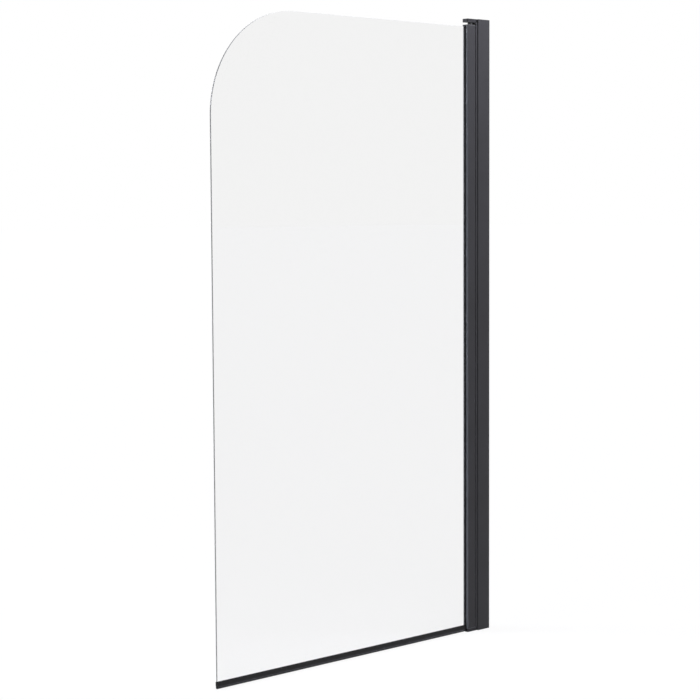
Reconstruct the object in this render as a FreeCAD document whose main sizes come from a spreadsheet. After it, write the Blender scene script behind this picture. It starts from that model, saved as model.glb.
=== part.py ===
import FreeCAD, Part
import math
import os
import Sketcher
from FreeCAD import Placement, Rotation, Vector

# Single-panel pivot bath screen, in millimetres.
# The wall is the plane X = 0 and the screen reaches along -X. The room side is -Y, and the bath
# rim is Z = 0. The panel turns outwards about a vertical axis, and a helical cam lifts it off the
# rim as it turns.

doc = FreeCAD.newDocument("BathScreen")
sheet = doc.addObject("Spreadsheet::Sheet", "Sizes")

driving_sizes = [
    ("height", 1400.0, "bath rim to the top of the wall profile"),
    ("reach", 800.0, "wall to the free edge of the glass"),
    ("profile_depth", 38.0, "wall profile, out from the wall"),
    ("profile_width", 23.2, "wall profile, across"),
    ("profile_wall", 1.5, "side walls of the wall profile"),
    ("profile_web", 2.2, "web of the wall profile, against the wall"),
    ("edge_radius", 0.8, "rounded long edges of the wall profile"),
    ("groove_width", 2.0, "drilling groove along the web"),
    ("groove_depth", 0.7, "depth of the drilling groove"),
    ("wall_hole_radius", 2.5, "wall fixing holes in the web"),
    ("wall_hole_inset", 100.0, "end of the profile to the first wall hole"),
    ("wall_hole_count", 4, "wall fixing holes, evenly spaced"),
    ("slide_gap", 0.3, "pivot profile to wall profile, each side"),
    ("pivot_reach", 52.5, "wall to the pivot axis"),
    ("swing_gap", 0.9, "side of the open channel to the tips of the pivot profile"),
    ("tip_wall", 1.5, "tips of the pivot profile, across"),
    ("seat_gap", 0.4, "barrel of the channel to its seat"),
    ("seat_wall", 3.0, "pivot profile behind its seat"),
    ("head_depth", 16.0, "closed head of the pivot profile"),
    ("leg_depth", 10.0, "legs of the pivot profile behind its head"),
    ("leg_wall", 1.6, "legs and walls of the pivot profile"),
    ("port_offset", 5.0, "screw ports to the middle plane"),
    ("port_inset", 9.7, "mouth of the wall profile to the screw ports"),
    ("port_lug_radius", 3.8, "lugs round the screw ports"),
    ("wiper_width", 2.0, "groove for the wiper in the seat"),
    ("wiper_depth", 1.6, "depth of the wiper groove"),
    ("wiper_nose", 0.1, "nose of the wiper past the seat"),
    ("wiper_gap", 0.1, "wiper to the sides of its groove"),
    ("channel_width", 17.2, "glazing channel, across"),
    ("channel_nose", 16.5, "pivot axis to the mouth of the channel"),
    ("bevel_run", 1.6, "bevel at the mouth, along the glass"),
    ("bevel_rise", 1.6, "bevel at the mouth, across the glass"),
    ("lip_depth", 1.4, "lips at the mouth of the channel"),
    ("lip_opening", 7.0, "between the lips of the channel"),
    ("channel_wall", 1.6, "side walls of the channel"),
    ("pocket_end", 7.0, "pivot axis to the end of the glass pocket"),
    ("chamber_start", 7.4, "pivot axis to the rear chamber"),
    ("glass_thickness", 4.0, "toughened pane"),
    ("glass_bite", 8.2, "glass inside the channel"),
    ("glass_lift", 0.4, "bottom of the channel to the glass"),
    ("glass_top_drop", 4.5, "top of the channel to the top of the glass"),
    ("glass_corner", 220.0, "rounded top corner at the free edge"),
    ("glass_arris", 0.5, "ground edge of the glass"),
    ("block_length", 40.0, "glazing blocks"),
    ("block_inset", 60.0, "end of the channel to the first glazing block"),
    ("block_count", 3, "glazing blocks"),
    ("block_gap", 0.15, "glazing block to the glass and to the pocket"),
    ("gasket_gap", 0.12, "gasket to the glass and to the channel"),
    ("gasket_nose", 1.4, "gasket past the mouth of the channel"),
    ("gasket_flare", 0.2, "flare of the gasket over the lip"),
    ("gasket_taper", 0.5, "gasket thinner at its nose"),
    ("gasket_tail", 6.0, "gasket inside the pocket"),
    ("arm_thickness", 7.8, "pivot arms at the top and the bottom"),
    ("arm_edge", 0.5, "chamfer round the outer face of an arm"),
    ("arm_floor", 1.5, "floor left under the blind pin seat"),
    ("rise", 5.0, "lift of the panel over a quarter turn"),
    ("end_gap", 0.3, "least gap between an arm and the channel"),
    ("pin_radius", 3.0, "pivot pins"),
    ("pin_gap", 0.05, "pivot pin to its holes"),
    ("pin_chamfer", 0.6, "leads on the pins and the bush"),
    ("bush_radius", 5.5, "bush and cams on the pins"),
    ("bore_gap", 0.08, "bush and cams to the bore of the channel"),
    ("bush_hold", 16.0, "bush inside the channel at rest"),
    ("pin_hold", 2.5, "pin past the bush or the upper cam"),
    ("key_length", 9.0, "key under the bush and the lower cam"),
    ("key_width", 3.0, "width of that key"),
    ("key_height", 2.0, "height of that key"),
    ("key_gap", 0.1, "key to its slot"),
    ("cam_base", 3.0, "plain foot of the lower cam"),
    ("cam_gap", 0.2, "between the ramps of the two cams"),
    ("cam_play", 1.5, "degrees between the upright faces of the two cams"),
    ("cam_back", 9.0, "plain length of the upper cam"),
    ("plug_thickness", 1.6, "flange of the end plug"),
    ("plug_tail", 10.0, "tail of the end plug in the rear chamber"),
    ("plug_gap", 0.2, "tail of the end plug to the chamber"),
    ("seal_top", 15.9, "top of the bottom seal above the rim"),
    ("seal_bottom", 0.9, "lowest line of the seal above the rim"),
    ("seal_wall", 1.7, "clip walls of the bottom seal"),
    ("seal_gap", 0.1, "bottom seal to the glass"),
    ("seal_web", 1.5, "web of the clip under the glass"),
    ("seal_neck", 2.4, "half width of the neck over the bulb"),
    ("seal_bulb", 3.4, "radius of the bulb"),
    ("seal_hollow", 2.2, "radius of the hollow in the bulb"),
    ("seal_end_gap", 0.3, "end of the seal to the gaskets"),
    ("screw_radius", 1.55, "shanks of the arm screws"),
    ("screw_gap", 0.05, "screw shank to the hole that it bites"),
    ("screw_clearance", 0.3, "screw shank to the holes that it passes"),
    ("screw_head_radius", 3.5, "countersunk heads of the arm screws"),
    ("screw_head_depth", 2.0, "depth of those heads"),
    ("screw_sink", 0.2, "heads below the face of the arm"),
    ("screw_hold", 16.0, "arm screws inside the pivot profile"),
    ("recess_length", 4.0, "cross recess of the screws"),
    ("recess_width", 0.9, "width of the cross recess"),
    ("recess_depth", 1.3, "depth of the cross recess"),
    ("side_screw_radius", 1.9, "side screws that set the adjustment"),
    ("side_screw_inset", 150.0, "end of the profile to the first side screw"),
    ("side_screw_count", 3, "side screws"),
    ("side_screw_hold", 1.2, "side screws past the inner face of the leg"),
    ("side_head_radius", 3.6, "pan heads of the side screws"),
    ("side_head_height", 2.0, "height of those heads"),
    ("cover_radius", 5.2, "covers over the side screws"),
    ("cover_height", 3.4, "height of the covers"),
    ("cover_wall", 0.9, "wall of the covers"),
    ("cam_screw_radius", 1.5, "locking screw of the upper cam"),
    ("cam_screw_head", 2.8, "countersunk head of that screw"),
    ("cam_screw_gap", 0.2, "tip of that screw to the pin"),
]


class Size:
    # A length or a count that carries its number and the formula that gives it.

    def __init__(self, value, formula):
        self.value = value
        self.formula = formula

    def join(self, sign, other, value):
        return Size(value, "(%s %s %s)" % (self.formula, sign, other.formula))

    def __add__(self, other):
        other = as_size(other)
        return self.join("+", other, self.value + other.value)

    def __sub__(self, other):
        other = as_size(other)
        return self.join("-", other, self.value - other.value)

    def __mul__(self, other):
        other = as_size(other)
        return self.join("*", other, self.value * other.value)

    def __truediv__(self, other):
        other = as_size(other)
        return self.join("/", other, self.value / other.value)

    def __neg__(self):
        return as_size(0) - self


def as_size(amount):
    if isinstance(amount, Size):
        return amount
    return Size(float(amount), "%.6f" % amount)


def root(square):
    return Size(math.sqrt(square.value), "sqrt(%s)" % square.formula)


def write_sheet():
    named = {}
    for index, (name, value, note) in enumerate(driving_sizes, start=1):
        sheet.set("A%d" % index, note)
        sheet.set("B%d" % index, "%g" % value)
        sheet.setAlias("B%d" % index, name)
        named[name] = Size(value, "Sizes.%s" % name)
    doc.recompute()
    return named


size = write_sheet()
zero = as_size(0)
up = Vector(0, 0, 1)
down = Vector(0, 0, -1)
full_turn = 360
quarter_turn = 90
turned_over = Rotation(Vector(1, 0, 0), 2 * quarter_turn)
facing_back = Rotation(Vector(1, 0, 0), -quarter_turn)
pair_count = as_size(2)
slight_angle = 0.04


def drive(feature, field, amount):
    # Binds one property of a feature to the sheet.
    feature.setExpression(field, as_size(amount).formula)


def new_body(label, x=zero, y=zero, z=zero, rotation=None):
    body = doc.addObject("PartDesign::Body", label)
    body.Label = label
    if rotation:
        body.Placement = Placement(Vector(), rotation)
    for axis, amount in zip("xyz", (x, y, z)):
        drive(body, "Placement.Base.%s" % axis, amount)
    return body


def origin_part(body, role):
    return next(part for part in body.Origin.OriginFeatures if part.Role == role)


def new_sketch(body, name, plane="XY_Plane", lift=None):
    sketch = body.newObject("Sketcher::SketchObject", name)
    sketch.AttachmentSupport = (origin_part(body, plane), [""])
    sketch.MapMode = "FlatFace"
    if lift is not None:
        drive(sketch, "AttachmentOffset.Base.z", lift)
    return sketch


def hold(sketch, direction, edge, end, amount):
    # Ties one coordinate of a point to its size, or to the axis where the size is zero.
    if amount is zero:
        own_axis = -2 if direction == "DistanceX" else -1
        sketch.addConstraint(Sketcher.Constraint("PointOnObject", edge, end, own_axis))
        return
    index = sketch.addConstraint(
        Sketcher.Constraint(direction, -1, 1, edge, end, amount.value)
    )
    sketch.setExpression("Constraints[%d]" % index, amount.formula)


def hold_point(sketch, edge, end, x, y):
    hold(sketch, "DistanceX", edge, end, x)
    hold(sketch, "DistanceY", edge, end, y)


def outline(sketch, path):
    # Draws one closed line. A corner is (x, y). (x, y, centre_x, centre_y, turn) is a corner that
    # an arc about that centre arrives at, anticlockwise where turn is 1 and clockwise at -1.
    first = sketch.GeometryCount
    ends = []
    for here, there in zip(path, path[1:] + path[:1]):
        start = Vector(here[0].value, here[1].value, 0)
        finish = Vector(there[0].value, there[1].value, 0)
        if len(there) == 2:
            sketch.addGeometry(Part.LineSegment(start, finish), False)
            ends.append((1, 2))
            continue
        centre = Vector(there[2].value, there[3].value, 0)
        low, high = (start, finish) if there[4] > 0 else (finish, start)
        circle = Part.Circle(centre, Vector(0, 0, 1), (start - centre).Length)
        from_angle = math.atan2(low.y - centre.y, low.x - centre.x)
        to_angle = math.atan2(high.y - centre.y, high.x - centre.x)
        if to_angle < from_angle:
            to_angle += 2 * math.pi
        sketch.addGeometry(Part.ArcOfCircle(circle, from_angle, to_angle), False)
        ends.append((1, 2) if there[4] > 0 else (2, 1))
    count = len(path)
    for step in range(count):
        after = (step + 1) % count
        sketch.addConstraint(
            Sketcher.Constraint(
                "Coincident", first + step, ends[step][1], first + after, ends[after][0]
            )
        )
        here, there = path[step], path[after]
        hold_point(sketch, first + step, ends[step][0], here[0], here[1])
        if len(there) == 2:
            continue
        upright = abs(there[1].value - here[1].value) > abs(there[0].value - here[0].value)
        if upright:
            hold(sketch, "DistanceX", first + step, 3, there[2])
        else:
            hold(sketch, "DistanceY", first + step, 3, there[3])


def rounded(x, y, radius, arriving, leaving, turn):
    # Two path corners that round a square corner. arriving and leaving are unit steps.
    start_x, start_y = x - radius * arriving[0], y - radius * arriving[1]
    end_x, end_y = x + radius * leaving[0], y + radius * leaving[1]
    centre_x = start_x + radius * leaving[0]
    centre_y = start_y + radius * leaving[1]
    return [(start_x, start_y), (end_x, end_y, centre_x, centre_y, turn)]


def ring(sketch, radius, x=zero, y=zero):
    edge = sketch.GeometryCount
    centre = Vector(x.value, y.value, 0)
    sketch.addGeometry(Part.Circle(centre, Vector(0, 0, 1), radius.value), False)
    if x is zero and y is zero:
        sketch.addConstraint(Sketcher.Constraint("Coincident", edge, 3, -1, 1))
    else:
        hold_point(sketch, edge, 3, x, y)
    index = sketch.addConstraint(Sketcher.Constraint("Radius", edge, radius.value))
    sketch.setExpression("Constraints[%d]" % index, radius.formula)


def pad(body, name, sketch, length, both_ways=False):
    feature = body.newObject("PartDesign::Pad", name)
    feature.Profile = sketch
    feature.Midplane = both_ways
    drive(feature, "Length", length)
    return feature


def pocket(body, name, sketch, length, both_ways=False, along_normal=False):
    feature = body.newObject("PartDesign::Pocket", name)
    feature.Profile = sketch
    feature.Midplane = both_ways
    feature.Reversed = along_normal
    drive(feature, "Length", length)
    return feature


def revolve(body, name, sketch, axis_support=None, cutting=False):
    # Turns a half section about the body's Z axis, or about a given edge, to add or to cut.
    kind = "Groove" if cutting else "Revolution"
    feature = body.newObject("PartDesign::%s" % kind, name)
    feature.Profile = sketch
    feature.ReferenceAxis = axis_support or (origin_part(body, "Z_Axis"), [""])
    feature.Angle = full_turn
    return feature


def row(body, name, features, axis, length, count):
    # Repeats features in a line, the first copy at its own place.
    pattern = body.newObject("PartDesign::LinearPattern", name)
    pattern.Originals = features
    pattern.Direction = (origin_part(body, axis), [""])
    drive(pattern, "Length", length)
    drive(pattern, "Occurrences", count)
    body.Tip = pattern
    return pattern


def chamfer_faces(body, name, feature, amount, directions):
    # Chamfers every edge of the outermost flat faces that look along the given directions.
    doc.recompute()
    faces = feature.Shape.Faces
    names = []
    for direction in directions:
        flat = [
            index
            for index, face in enumerate(faces)
            if isinstance(face.Surface, Part.Plane)
            and face.normalAt(0, 0).getAngle(direction) < slight_angle
        ]
        outermost = max(flat, key=lambda index: faces[index].CenterOfMass.dot(direction))
        names.append("Face%d" % (outermost + 1))
    chamfer = body.newObject("PartDesign::Chamfer", name)
    chamfer.Base = (feature, names)
    drive(chamfer, "Size", amount)
    return chamfer


# Lines that several pieces share, all worked out from the sheet.
half_profile = size["profile_width"] / 2
half_channel = size["channel_width"] / 2
half_glass = size["glass_thickness"] / 2
slide_half = half_profile - size["profile_wall"] - size["slide_gap"]
mouth_x = -size["profile_depth"]
head_back_x = mouth_x + size["head_depth"]
leg_end_x = head_back_x + size["leg_depth"]
axis_x = -size["pivot_reach"]
tip_from_axis = half_channel + size["swing_gap"]
tip_x = axis_x + tip_from_axis
tip_half = slide_half - size["tip_wall"]
seat_radius = root(tip_from_axis * tip_from_axis + tip_half * tip_half)
barrel_radius = seat_radius - size["seat_gap"]
barrel_flat = root(barrel_radius * barrel_radius - half_channel * half_channel)
bore_radius = size["bush_radius"] + size["bore_gap"]
pin_hole_radius = size["pin_radius"] + size["pin_gap"]
port_x = mouth_x + size["port_inset"]
top_arm_z = size["height"] - size["arm_thickness"]
channel_bottom = size["arm_thickness"] + size["end_gap"]
channel_top = top_arm_z - size["rise"] - size["end_gap"]
channel_end = channel_top - size["plug_thickness"]
glass_bottom = channel_bottom + size["glass_lift"]
glass_top = channel_top - size["glass_top_drop"]
glass_inner = -size["channel_nose"] + size["glass_bite"]
nose_half = half_channel - size["bevel_rise"]
pin_seat_depth = size["arm_thickness"] - size["arm_floor"]
cam_pitch_half_turn = size["rise"] * 2
lower_cam_length = size["cam_base"] + cam_pitch_half_turn
upper_cam_z = size["arm_thickness"] + size["cam_base"] + size["cam_gap"]
cam_screw_z = upper_cam_z + cam_pitch_half_turn + size["cam_back"] / 2
side_screw_x = head_back_x + size["leg_depth"] / 2
side_screw_step = size["height"] - size["side_screw_inset"] * 2
port_screw_hole = size["screw_radius"] + size["screw_gap"]


def wall_profile():
    body = new_body("wall_profile")
    inner = half_profile - size["profile_wall"]
    web = -size["profile_web"]
    half_groove = size["groove_width"] / 2
    radius = size["edge_radius"]
    sketch = new_sketch(body, "wall_profile_section")
    path = rounded(zero, -half_profile, radius, (0, -1), (-1, 0), -1)
    path += rounded(mouth_x, -half_profile, radius, (-1, 0), (0, 1), -1)
    path += [
        (mouth_x, -inner),
        (web, -inner),
        (web, -half_groove),
        (web + size["groove_depth"], zero),
        (web, half_groove),
        (web, inner),
        (mouth_x, inner),
    ]
    path += rounded(mouth_x, half_profile, radius, (0, 1), (1, 0), -1)
    path += rounded(zero, half_profile, radius, (1, 0), (0, -1), -1)
    outline(sketch, path)
    pad(body, "wall_profile_extrusion", sketch, size["height"])
    wall_holes = new_sketch(body, "wall_hole", "YZ_Plane")
    ring(wall_holes, size["wall_hole_radius"], zero, size["wall_hole_inset"])
    first_hole = pocket(
        body, "wall_hole_cut", wall_holes, size["profile_depth"], both_ways=True
    )
    spacing = size["height"] - size["wall_hole_inset"] * 2
    row(body, "wall_hole_row", [first_hole], "Z_Axis", spacing, size["wall_hole_count"])
    side_holes = new_sketch(body, "side_hole", "XZ_Plane")
    side_hole_radius = size["side_screw_radius"] + size["screw_clearance"]
    ring(side_holes, side_hole_radius, side_screw_x, size["side_screw_inset"])
    side_hole = pocket(body, "side_hole_cut", side_holes, size["profile_width"])
    row(
        body, "side_hole_row", [side_hole], "Z_Axis", side_screw_step, size["side_screw_count"]
    )
    return body


def pivot_profile():
    body = new_body("pivot_profile", z=size["arm_thickness"])
    half_wiper = size["wiper_width"] / 2
    wiper_x = axis_x + root(seat_radius * seat_radius - half_wiper * half_wiper)
    wiper_end = axis_x + seat_radius + size["wiper_depth"]
    inner = slide_half - size["leg_wall"]
    sketch = new_sketch(body, "pivot_profile_section")
    outline(
        sketch,
        [
            (leg_end_x, -slide_half),
            (tip_x, -slide_half),
            (tip_x, -tip_half),
            (wiper_x, -half_wiper, axis_x, zero, 1),
            (wiper_end, -half_wiper),
            (wiper_end, half_wiper),
            (wiper_x, half_wiper),
            (tip_x, tip_half, axis_x, zero, 1),
            (tip_x, slide_half),
            (leg_end_x, slide_half),
            (leg_end_x, inner),
            (head_back_x, inner),
            (head_back_x, -inner),
            (leg_end_x, -inner),
        ],
    )
    chamber_front = axis_x + seat_radius + size["seat_wall"]
    chamber_back = head_back_x - size["leg_wall"]
    outline(
        sketch,
        [
            (chamber_front, -inner),
            (chamber_back, -inner),
            (chamber_back, inner),
            (chamber_front, inner),
        ],
    )
    length = size["height"] - size["arm_thickness"] * 2
    pad(body, "pivot_profile_extrusion", sketch, length)
    for side, sign in (("front", -1), ("back", 1)):
        lug = new_sketch(body, "port_lug_%s" % side)
        ring(lug, size["port_lug_radius"], port_x, size["port_offset"] * sign)
        pad(body, "port_lug_pad_%s" % side, lug, length)
    ports = new_sketch(body, "port")
    for sign in (-1, 1):
        ring(ports, port_screw_hole, port_x, size["port_offset"] * sign)
    pocket(body, "port_cut", ports, length, along_normal=True)
    pilots = new_sketch(body, "side_pilot", "XZ_Plane")
    pilot_z = size["side_screw_inset"] - size["arm_thickness"]
    ring(pilots, size["side_screw_radius"] + size["screw_gap"], side_screw_x, pilot_z)
    pilot = pocket(body, "side_pilot_cut", pilots, size["profile_width"])
    row(
        body, "side_pilot_row", [pilot], "Z_Axis", side_screw_step, size["side_screw_count"]
    )
    return body


def wiper_seal():
    body = new_body("wiper_seal", z=size["arm_thickness"])
    half = size["wiper_width"] / 2 - size["wiper_gap"]
    back = axis_x + seat_radius + size["wiper_depth"] - size["wiper_gap"]
    nose = axis_x + seat_radius - size["wiper_nose"]
    shoulder = axis_x + seat_radius
    sketch = new_sketch(body, "wiper_section")
    outline(
        sketch,
        [
            (back, -half),
            (shoulder, -half),
            (nose, -half / 2),
            (nose, half / 2),
            (shoulder, half),
            (back, half),
        ],
    )
    length = size["height"] - size["arm_thickness"] * 2
    pad(body, "wiper_extrusion", sketch, length)
    return body


def channel_outline(nose):
    # Outer line of the glazing channel about the pivot axis, open at its nose.
    bevel_end = nose + size["bevel_run"]
    return [
        (nose, nose_half),
        (bevel_end, half_channel),
        (barrel_flat, half_channel),
        (barrel_flat, -half_channel, zero, zero, -1),
        (bevel_end, -half_channel),
        (nose, -nose_half),
    ]


def rear_chamber(inset):
    # Line of the chamber behind the bore, drawn in by a clearance.
    half = half_channel - size["channel_wall"] * 2 - inset
    back_radius = barrel_radius - size["channel_wall"] - inset
    corner = root(back_radius * back_radius - half * half)
    front = size["chamber_start"] + inset
    return [
        (front, -half),
        (corner, -half),
        (corner, half, zero, zero, 1),
        (front, half),
    ]


def glazing_channel():
    body = new_body("glazing_channel", x=axis_x, z=channel_bottom)
    nose = -size["channel_nose"]
    lip_half = size["lip_opening"] / 2
    lip_back = nose + size["lip_depth"]
    pocket_half = half_channel - size["channel_wall"]
    pocket_end = -size["pocket_end"]
    sketch = new_sketch(body, "channel_section")
    path = channel_outline(nose) + [
        (nose, -lip_half),
        (lip_back, -lip_half),
        (lip_back, -pocket_half),
        (pocket_end, -pocket_half),
        (pocket_end, pocket_half),
        (lip_back, pocket_half),
        (lip_back, lip_half),
        (nose, lip_half),
    ]
    outline(sketch, path)
    ring(sketch, bore_radius)
    outline(sketch, rear_chamber(zero))
    pad(body, "channel_extrusion", sketch, channel_end - channel_bottom)
    # The locking screw of the upper cam goes in from the bath side, countersunk.
    screw_hole = new_sketch(body, "cam_screw_hole", "YZ_Plane")
    hole_z = cam_screw_z - channel_bottom
    hole_radius = size["cam_screw_radius"] + size["screw_gap"]
    sink_radius = size["cam_screw_head"] + size["screw_gap"]
    outline(
        screw_hole,
        [
            (size["pin_radius"], hole_z),
            (size["pin_radius"], hole_z + hole_radius),
            (half_channel - (sink_radius - hole_radius), hole_z + hole_radius),
            (half_channel, hole_z + sink_radius),
            (half_channel, hole_z),
        ],
    )
    revolve(body, "cam_screw_cut", screw_hole, (screw_hole, ["Edge5"]), cutting=True)
    return body


def top_end_plug():
    body = new_body("top_end_plug", x=axis_x, z=channel_end)
    flange = new_sketch(body, "plug_flange")
    outline(flange, channel_outline(-size["channel_nose"]))
    ring(flange, bore_radius)
    pad(body, "plug_flange_pad", flange, size["plug_thickness"])
    tail = new_sketch(body, "plug_tail")
    outline(tail, rear_chamber(size["plug_gap"]))
    tail_pad = pad(body, "plug_tail_pad", tail, size["plug_tail"])
    tail_pad.Reversed = True
    return body


def pivot_arm(label, z, rotation=None):
    # The same casting serves at both ends, one of them turned over.
    body = new_body(label, z=z, rotation=rotation)
    nose_x = axis_x - size["channel_nose"]
    bevel_end = nose_x + size["bevel_run"]
    sketch = new_sketch(body, "arm_outline")
    outline(
        sketch,
        [
            (leg_end_x, -slide_half),
            (mouth_x, -slide_half),
            (mouth_x, -half_channel),
            (bevel_end, -half_channel),
            (nose_x, -nose_half),
            (nose_x, nose_half),
            (bevel_end, half_channel),
            (mouth_x, half_channel),
            (mouth_x, slide_half),
            (leg_end_x, slide_half),
        ],
    )
    plate = pad(body, "arm_plate", sketch, size["arm_thickness"])
    edge = chamfer_faces(body, "arm_edge", plate, size["arm_edge"], [up])
    pin_seat = new_sketch(body, "pin_seat")
    ring(pin_seat, pin_hole_radius, axis_x)
    pocket(body, "pin_seat_cut", pin_seat, pin_seat_depth, along_normal=True)
    key_slot = new_sketch(body, "key_slot")
    half_length = size["key_length"] / 2 + size["key_gap"]
    half_width = size["key_width"] / 2 + size["key_gap"]
    outline(
        key_slot,
        [
            (axis_x - half_length, -half_width),
            (axis_x + half_length, -half_width),
            (axis_x + half_length, half_width),
            (axis_x - half_length, half_width),
        ],
    )
    key_depth = size["key_height"] + size["key_gap"]
    pocket(body, "key_slot_cut", key_slot, key_depth, along_normal=True)
    screw_holes = new_sketch(body, "screw_hole", lift=size["arm_thickness"])
    for sign in (-1, 1):
        ring(screw_holes, size["screw_radius"], port_x, size["port_offset"] * sign)
    doc.recompute()
    hole = body.newObject("PartDesign::Hole", "screw_hole_cut")
    hole.Profile = screw_holes
    doc.recompute()
    hole.DepthType = "ThroughAll"
    hole.ThreadType = "None"
    hole.HoleCutType = "Countersink"
    hole.HoleCutCustomValues = True
    drive(hole, "Diameter", (size["screw_radius"] + size["screw_clearance"]) * 2)
    head = size["screw_head_radius"] + size["screw_sink"] + size["screw_gap"]
    drive(hole, "HoleCutDiameter", head * 2)
    hole.HoleCutCountersinkAngle = quarter_turn
    return body


def key_tongue(body, z_down):
    # The tongue that keeps a bush or a cam from turning in its arm.
    half_length = size["key_length"] / 2
    half_width = size["key_width"] / 2
    sketch = new_sketch(body, "key_tongue")
    outline(
        sketch,
        [
            (-half_length, -half_width),
            (half_length, -half_width),
            (half_length, half_width),
            (-half_length, half_width),
        ],
    )
    tongue = pad(body, "key_tongue_pad", sketch, size["key_height"])
    tongue.Reversed = z_down
    return tongue


def pin_bore(body, name, low, high):
    sketch = new_sketch(body, "%s_line" % name, lift=low)
    ring(sketch, pin_hole_radius)
    return pocket(body, name, sketch, high - low, along_normal=True)


def top_bush():
    # Hangs under the top arm. The bore of the channel slides and turns on it.
    body = new_body("top_bush", x=axis_x, z=top_arm_z, rotation=turned_over)
    sketch = new_sketch(body, "bush_line")
    ring(sketch, size["bush_radius"])
    length = size["rise"] + size["end_gap"] + size["bush_hold"]
    tube = pad(body, "bush_tube", sketch, length)
    chamfer_faces(body, "bush_lead", tube, size["pin_chamfer"], [up])
    key_tongue(body, z_down=True)
    pin_bore(body, "bush_bore", -size["key_height"], length)
    return body


def plain_pin(label, z, length, free_end):
    body = new_body(label, x=axis_x, z=z)
    sketch = new_sketch(body, "pin_line")
    ring(sketch, size["pin_radius"])
    rod = pad(body, "pin_rod", sketch, length)
    chamfer_faces(body, "pin_lead", rod, size["pin_chamfer"], [free_end])
    return body


def top_pivot_pin():
    low = channel_top - size["bush_hold"] - size["pin_hold"]
    high = top_arm_z + pin_seat_depth - size["pin_gap"]
    return plain_pin("top_pivot_pin", low, high - low, down)


def bottom_pivot_pin():
    low = size["arm_floor"] + size["pin_gap"]
    high = upper_cam_z + cam_pitch_half_turn + size["cam_back"] + size["pin_hold"]
    return plain_pin("bottom_pivot_pin", low, high - low, up)


def ramp_pair(body, name, foot, upward, start=zero):
    # Two helical ramps, each climbing by twice the rise over half a turn. start turns them.
    margin = size["cam_gap"]
    inner = size["pin_radius"] / 2
    outer = size["bush_radius"] + margin
    sketch = new_sketch(body, "%s_line" % name, "XZ_Plane")
    sketch.AttachmentOffset = Placement(Vector(), Rotation(Vector(0, 1, 0), start.value))
    drive(sketch, "AttachmentOffset.Rotation.Angle", start)
    reach_z = cam_pitch_half_turn + margin
    far = foot + reach_z if upward else foot - reach_z
    outline(sketch, [(inner, foot), (outer, foot), (outer, far), (inner, far)])
    helix = body.newObject("PartDesign::SubtractiveHelix", name)
    helix.Profile = sketch
    helix.ReferenceAxis = (origin_part(body, "Z_Axis"), [""])
    helix.Mode = "pitch-height-angle"
    drive(helix, "Pitch", cam_pitch_half_turn * 2)
    drive(helix, "Height", cam_pitch_half_turn)
    pair = body.newObject("PartDesign::PolarPattern", "%s_pair" % name)
    pair.Originals = [helix]
    pair.Axis = (origin_part(body, "Z_Axis"), [""])
    pair.Angle = full_turn
    drive(pair, "Occurrences", pair_count)
    body.Tip = pair
    return pair


def lower_cam():
    body = new_body("lower_cam", x=axis_x, z=size["arm_thickness"])
    sketch = new_sketch(body, "lower_cam_line")
    ring(sketch, size["bush_radius"])
    pad(body, "lower_cam_post", sketch, lower_cam_length)
    ramp_pair(body, "lower_ramp", size["cam_base"], upward=True)
    key_tongue(body, z_down=True)
    pin_bore(body, "lower_cam_bore", -size["key_height"], lower_cam_length)
    return body


def upper_cam():
    # Turns and lifts with the channel, and stands on the lower cam.
    body = new_body("upper_cam", x=axis_x, z=upper_cam_z)
    length = cam_pitch_half_turn + size["cam_back"]
    sketch = new_sketch(body, "upper_cam_line")
    ring(sketch, size["bush_radius"])
    pad(body, "upper_cam_post", sketch, length)
    ramp_pair(body, "upper_ramp", zero, upward=False, start=size["cam_play"])
    pin_bore(body, "upper_cam_bore", zero, length)
    pilot = new_sketch(body, "cam_screw_pilot", "XZ_Plane")
    ring(pilot, size["cam_screw_radius"] + size["screw_gap"], zero, cam_screw_z - upper_cam_z)
    pocket(body, "cam_screw_pilot_cut", pilot, size["bush_radius"] * 2)
    return body


def gasket(label, side):
    # Wedge between the glass and one side of the channel. side is -1 in front, 1 behind.
    seal_height = size["seal_top"] + size["seal_end_gap"]
    body = new_body(label, x=axis_x, z=seal_height)
    gap = size["gasket_gap"]
    nose = -size["channel_nose"]
    lip_back = nose + size["lip_depth"]
    on_glass = half_glass + gap
    in_lip = size["lip_opening"] / 2 - gap
    in_pocket = half_channel - size["channel_wall"] - gap
    flare = size["lip_opening"] / 2 + size["gasket_flare"]
    tail = lip_back + size["gasket_tail"]
    corners = [
        (nose - size["gasket_nose"], on_glass),
        (nose - size["gasket_nose"], in_lip - size["gasket_taper"]),
        (nose - gap, flare),
        (nose - gap, in_lip),
        (lip_back + gap, in_lip),
        (lip_back + gap, in_pocket),
        ((lip_back + tail) / 2, in_pocket),
        (tail, in_lip),
        (tail, on_glass),
    ]
    sketch = new_sketch(body, "gasket_section")
    outline(sketch, [(x, y * side) for x, y in corners])
    pad(body, "gasket_extrusion", sketch, glass_top - seal_height)
    return body


def glass_panel():
    body = new_body("glass_panel")
    radius = size["glass_corner"]
    free = -size["reach"]
    hidden = axis_x + glass_inner
    sketch = new_sketch(body, "glass_outline", "XZ_Plane")
    outline(
        sketch,
        [
            (free, glass_bottom),
            (hidden, glass_bottom),
            (hidden, glass_top),
            (free + radius, glass_top),
            (free, glass_top - radius, free + radius, glass_top - radius, 1),
        ],
    )
    pane = pad(body, "glass_sheet", sketch, size["glass_thickness"], both_ways=True)
    sides = [Vector(0, -1, 0), Vector(0, 1, 0)]
    chamfer_faces(body, "glass_arris", pane, size["glass_arris"], sides)
    return body


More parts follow.
